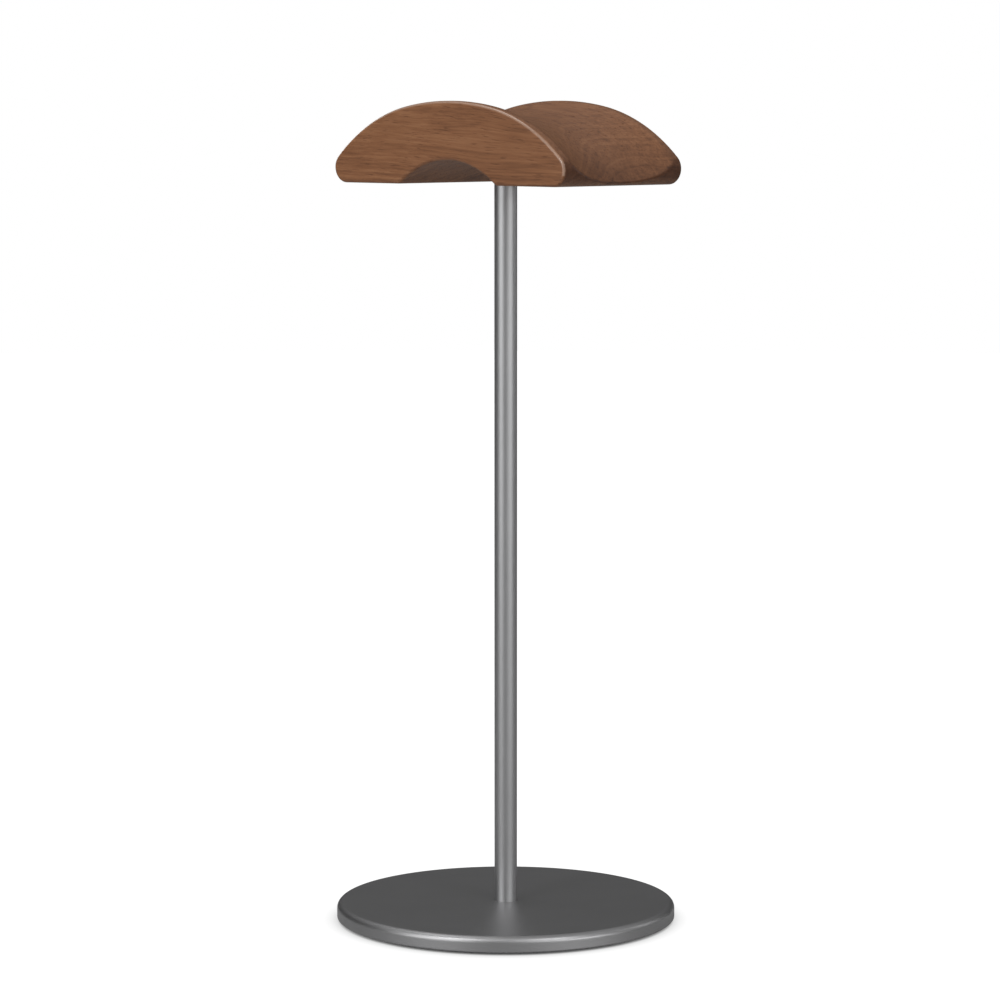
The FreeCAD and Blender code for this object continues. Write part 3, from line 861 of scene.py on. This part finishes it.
def makeGritGroup(values):
    # fine grit, slow cloudiness and turning marks, for every metal, the tape and the pad
    group = bpy.data.node_groups.new("gritAndCloud", "ShaderNodeTree")
    for name in ("grainsPerMetre", "cloudsPerMetre", "ringsPerMetre"):
        socket = group.interface.new_socket(name, in_out="INPUT", socket_type="NodeSocketFloat")
        socket.default_value = values[name]
    for name in ("grit", "cloud", "turning"):
        group.interface.new_socket(name, in_out="OUTPUT", socket_type="NodeSocketFloat")
    entry = addNode(group, "NodeGroupInput")
    leave = addNode(group, "NodeGroupOutput")
    place = addNode(group, "ShaderNodeTexCoord").outputs["Object"]
    for source, target, detail in (("grainsPerMetre", "grit", 2.0), ("cloudsPerMetre", "cloud", 3.0)):
        noise = addNoise(group, place, 1.0, detail, 0.5)
        group.links.new(entry.outputs[source], noise.inputs["Scale"])
        group.links.new(noise.outputs["Fac"], leave.inputs[target])
    radius = addNode(group, "ShaderNodeVectorMath", operation="LENGTH")
    group.links.new(addVectorMath(group, "MULTIPLY", place, (1.0, 1.0, 0.0)), radius.inputs[0])
    rings = addNode(group, "ShaderNodeTexNoise", noise_dimensions="1D", Detail=2.0)
    group.links.new(radius.outputs["Value"], rings.inputs["W"])
    group.links.new(entry.outputs["ringsPerMetre"], rings.inputs["Scale"])
    group.links.new(rings.outputs["Fac"], leave.inputs["turning"])
    return group


finishes = {
    "foot": {"name": "blastedGreyFoot", "light": (0.420, 0.420, 0.426), "dark": (0.385, 0.385, 0.391),
             "metallic": 1.0, "roughness": 0.42, "grains": 5200, "bump": 0.20, "turning": 0.0},
    "rod": {"name": "satinGreyRod", "light": (0.430, 0.431, 0.437), "dark": (0.395, 0.396, 0.402),
            "metallic": 1.0, "roughness": 0.45, "grains": 7000, "bump": 0.05, "turning": 0.0},
    "pad": {"name": "blackSilicone", "light": (0.018, 0.018, 0.019), "dark": (0.011, 0.011, 0.012),
            "metallic": 0.0, "roughness": 0.75, "grains": 2500, "bump": 0.4, "turning": 0.0},
    "ballast": {"name": "zincSteelRing", "light": (0.56, 0.57, 0.58), "dark": (0.42, 0.43, 0.45),
                "metallic": 1.0, "roughness": 0.40, "grains": 1800, "bump": 0.15, "turning": 0.5},
    "tape": {"name": "bondingTape", "light": (0.72, 0.71, 0.66), "dark": (0.62, 0.61, 0.56),
             "metallic": 0.0, "roughness": 0.6, "grains": 3000, "bump": 0.3, "turning": 0.0},
    "screw": {"name": "zincScrew", "light": (0.58, 0.58, 0.57), "dark": (0.45, 0.45, 0.45),
              "metallic": 1.0, "roughness": 0.3, "grains": 4000, "bump": 0.1, "turning": 0.2},
    "stud": {"name": "zincStud", "light": (0.56, 0.56, 0.56), "dark": (0.43, 0.43, 0.44),
             "metallic": 1.0, "roughness": 0.33, "grains": 4000, "bump": 0.1, "turning": 0.2},
    "insert": {"name": "turnedBrass", "light": (0.78, 0.57, 0.25), "dark": (0.62, 0.43, 0.17),
               "metallic": 1.0, "roughness": 0.28, "grains": 5000, "bump": 0.1, "turning": 0.4},
}


def makeFinish(values, gritValues, gritGroup):
    material, tree, shader = newMaterial(values["name"])
    grit = addNode(tree, "ShaderNodeGroup", node_tree=gritGroup)
    grit.inputs["grainsPerMetre"].default_value = values["grains"]
    colour = mixColours(tree, "MIX", grit.outputs["cloud"], values["dark"], values["light"])
    tree.links.new(colour, shader.inputs["Base Color"])
    spread = gritValues["roughSpread"]
    rough = addSum(tree, (grit.outputs["grit"], spread), (1.0, values["roughness"] - spread / 2))
    tree.links.new(rough, shader.inputs["Roughness"])
    height = addSum(tree, (grit.outputs["grit"], 1.0), (grit.outputs["turning"], values["turning"]))
    addBump(tree, shader, height, values["bump"], gritValues["bumpDepth"])
    shader.inputs["Metallic"].default_value = values["metallic"]
    return material


gritGroup = makeGritGroup(gritValues)
finished = {"foot": foot, "rod": rod, "pad": pad, "ballast": ballast, "tape": tape,
            "screw": screw, "stud": stud, "insert": insert}
for key, piece in finished.items():
    piece.data.materials.append(makeFinish(finishes[key], gritValues, gritGroup))
print("finishes made:", len(finishes))


# floor, world and lights

studioValues = {
    "floorRadius": 3.0,
    "floorCorners": 128,
    "floorDrop": 0.0002,       # just clear of the pad
    "floorGlow": 1.10,         # how bright the open floor looks
    "shadowReach": 0.06,       # how far the soft shadow round the foot spreads
    "shadowDepth": 0.60,
    "shadowSamples": 16,
    "floorBounce": 0.45,       # what it throws back at the object
    "backdrop": 1.0,
    "skyLow": 0.035,           # light from near the horizon, which the foot mirrors
    "skyHigh": 0.55,
    "skyTurn": (0.25, 0.90),   # where between level and overhead it brightens
}


def makeFloor(values):
    bm = bmesh.new()
    bmesh.ops.create_circle(bm, cap_ends=True, segments=values["floorCorners"],
                             radius=values["floorRadius"])
    bmesh.ops.translate(bm, verts=bm.verts, vec=(0, 0, -values["floorDrop"]))
    mesh = bpy.data.meshes.new("floor")
    bm.to_mesh(mesh)
    bm.free()
    floor = bpy.data.objects.new("floor", mesh)
    bpy.context.scene.collection.objects.link(floor)
    # the eye sees plain white paper with a soft shadow; the object gets a duller bounce
    material = bpy.data.materials.new("palePaper")
    material.use_nodes = True
    tree = material.node_tree
    tree.nodes.clear()
    around = addNode(tree, "ShaderNodeAmbientOcclusion",
                     samples=values["shadowSamples"], Distance=values["shadowReach"])
    shade = addMath(tree, "POWER", around.outputs["AO"], values["shadowDepth"])
    seen = addNode(tree, "ShaderNodeEmission")
    tree.links.new(addMath(tree, "MULTIPLY", shade, values["floorGlow"]), seen.inputs["Strength"])
    bounce = addNode(tree, "ShaderNodeBsdfDiffuse", Color=(*[values["floorBounce"]] * 3, 1))
    mix = addNode(tree, "ShaderNodeMixShader")
    tree.links.new(addNode(tree, "ShaderNodeLightPath").outputs["Is Camera Ray"], mix.inputs[0])
    tree.links.new(bounce.outputs[0], mix.inputs[1])
    tree.links.new(seen.outputs[0], mix.inputs[2])
    # from below, the floor lets the eye through
    side = addNode(tree, "ShaderNodeMixShader")
    tree.links.new(addNode(tree, "ShaderNodeNewGeometry").outputs["Backfacing"], side.inputs[0])
    tree.links.new(mix.outputs[0], side.inputs[1])
    tree.links.new(addNode(tree, "ShaderNodeBsdfTransparent").outputs[0], side.inputs[2])
    tree.links.new(side.outputs[0], addNode(tree, "ShaderNodeOutputMaterial").inputs[0])
    mesh.materials.append(material)


def makeWorld(values):
    world = bpy.data.worlds.new("studio")
    world.use_nodes = True
    tree = world.node_tree
    tree.nodes.clear()
    split = addNode(tree, "ShaderNodeSeparateXYZ")
    tree.links.new(addNode(tree, "ShaderNodeTexCoord").outputs["Generated"], split.inputs[0])
    climb = addFade(tree, split.outputs["Z"], *values["skyTurn"])
    strength = addSum(tree, (climb, values["skyHigh"] - values["skyLow"]), (1.0, values["skyLow"]))
    sky = addNode(tree, "ShaderNodeBackground")
    tree.links.new(strength, sky.inputs["Strength"])
    seen = addNode(tree, "ShaderNodeBackground", Strength=values["backdrop"])
    seen.inputs["Color"].default_value = (1, 1, 1, 1)
    mix = addNode(tree, "ShaderNodeMixShader")
    tree.links.new(addNode(tree, "ShaderNodeLightPath").outputs["Is Camera Ray"], mix.inputs[0])
    tree.links.new(sky.outputs[0], mix.inputs[1])
    tree.links.new(seen.outputs[0], mix.inputs[2])
    tree.links.new(mix.outputs[0], addNode(tree, "ShaderNodeOutputWorld").inputs[0])
    bpy.context.scene.world = world


# turn is in degrees round from the camera, to the right; radiance is how bright the box looks;
# only names the pieces that a light falls on, where it doesn't fall on them all
lights = {
    "boxLeft": {"turn": -48, "distance": 1.25, "height": 0.52, "aimHeight": 0.15,
                "width": 1.0, "tall": 1.05, "radiance": 2.3},
    "boxRight": {"turn": 19, "distance": 1.30, "height": 0.50, "aimHeight": 0.15,
                 "width": 0.45, "tall": 0.80, "radiance": 1.3},
    "boxLow": {"turn": 50, "distance": 1.30, "height": 0.24, "aimHeight": 0.10,
               "width": 1.0, "tall": 0.42, "radiance": 2.8, "only": ["satinRod", "turnedFoot"]},
    "boxSide": {"turn": 108, "distance": 1.20, "height": 0.45, "aimHeight": 0.20,
                "width": 0.4, "tall": 0.60, "radiance": 1.2},
    "boxTop": {"turn": -110, "distance": 0.50, "height": 1.35, "aimHeight": 0.15,
               "width": 0.5, "tall": 0.5, "radiance": 2.0},
    "boxRim": {"turn": -150, "distance": 0.80, "height": 0.44, "aimHeight": 0.27,
               "width": 0.40, "tall": 0.26, "radiance": 2.4, "only": ["walnutSaddle", "satinRod"]},
    "glintLeft": {"turn": -38, "distance": 1.05, "height": 1.10, "aimHeight": 0.15,
                  "width": 0.26, "tall": 0.26, "radiance": 12.0},
    "glintRight": {"turn": 38, "distance": 1.05, "height": 1.00, "aimHeight": 0.10,
                   "width": 0.26, "tall": 0.26, "radiance": 12.0},
    # shines up through the floor, so that the underside can be seen from below
    "boxUnder": {"turn": 0, "distance": 0.25, "height": -1.0, "aimHeight": 0.0,
                 "width": 1.0, "tall": 0.8, "radiance": 7.0, "only": ["gripPad", "footScrew"]},
}


def makeLights(lights, cameraAzimuth):
    for name, values in lights.items():
        data = bpy.data.lights.new(name, "AREA")
        data.shape = "RECTANGLE"
        data.size = values["width"]
        data.size_y = values["tall"]
        data.energy = values["radiance"] * math.pi * values["width"] * values["tall"]
        light = bpy.data.objects.new(name, data)
        light.visible_camera = False
        azimuth = cameraAzimuth + values["turn"]
        standAt(light, azimuth, values["distance"], values["height"], values["aimHeight"])
        if "only" in values:
            lit = bpy.data.collections.new(name + "Lit")
            for piece in values["only"]:
                lit.objects.link(bpy.data.objects[piece])
            light.light_linking.receiver_collection = lit
            if values["height"] < 0:      # the floor doesn't shade these pieces from it
                light.light_linking.blocker_collection = lit


makeFloor(studioValues)
makeWorld(studioValues)
makeLights(lights, cameraValues["azimuth"])
bpy.context.scene.view_settings.view_transform = "Standard"
print("studio made")
